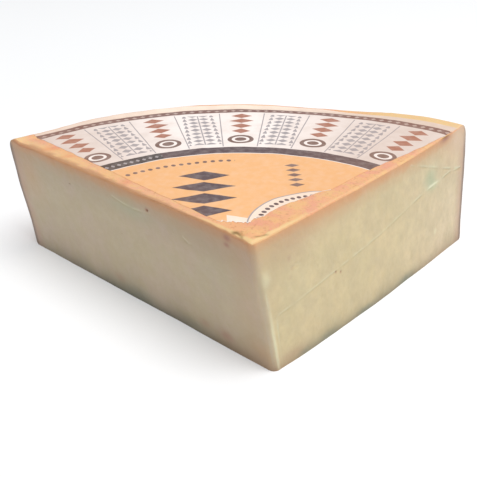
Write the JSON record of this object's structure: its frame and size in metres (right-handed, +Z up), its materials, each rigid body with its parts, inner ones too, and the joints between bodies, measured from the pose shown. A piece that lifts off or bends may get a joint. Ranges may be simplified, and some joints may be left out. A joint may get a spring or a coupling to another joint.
{
  "type": "quarter wheel of fontina cheese",
  "caption": "Quarter wheel of semi-hard cow's milk cheese with two flat cut faces, a thin washed rind and a printed paper label on top.",
  "frame": {"origin": "middle of the bounding box in plan, on the flat underside that the cheese stands on", "axes": "+Z up; the tip, where the two cut faces meet, points to -Y and the curved rim lies towards +Y; +X runs across, along the longest side of the box"},
  "size_m": [0.2918, 0.202, 0.0806],
  "materials": {
    "cheese": "pale ivory-yellow paste with a waxy cut face, under a thin matt orange-tan washed rind",
    "label_paper": "thin uncoated paper with flat print in apricot, off-white, maroon and slate"
  },
  "bodies": {
    "root": {"cheese": "cheese", "label": "label_paper"}
  },
  "joints": []
}
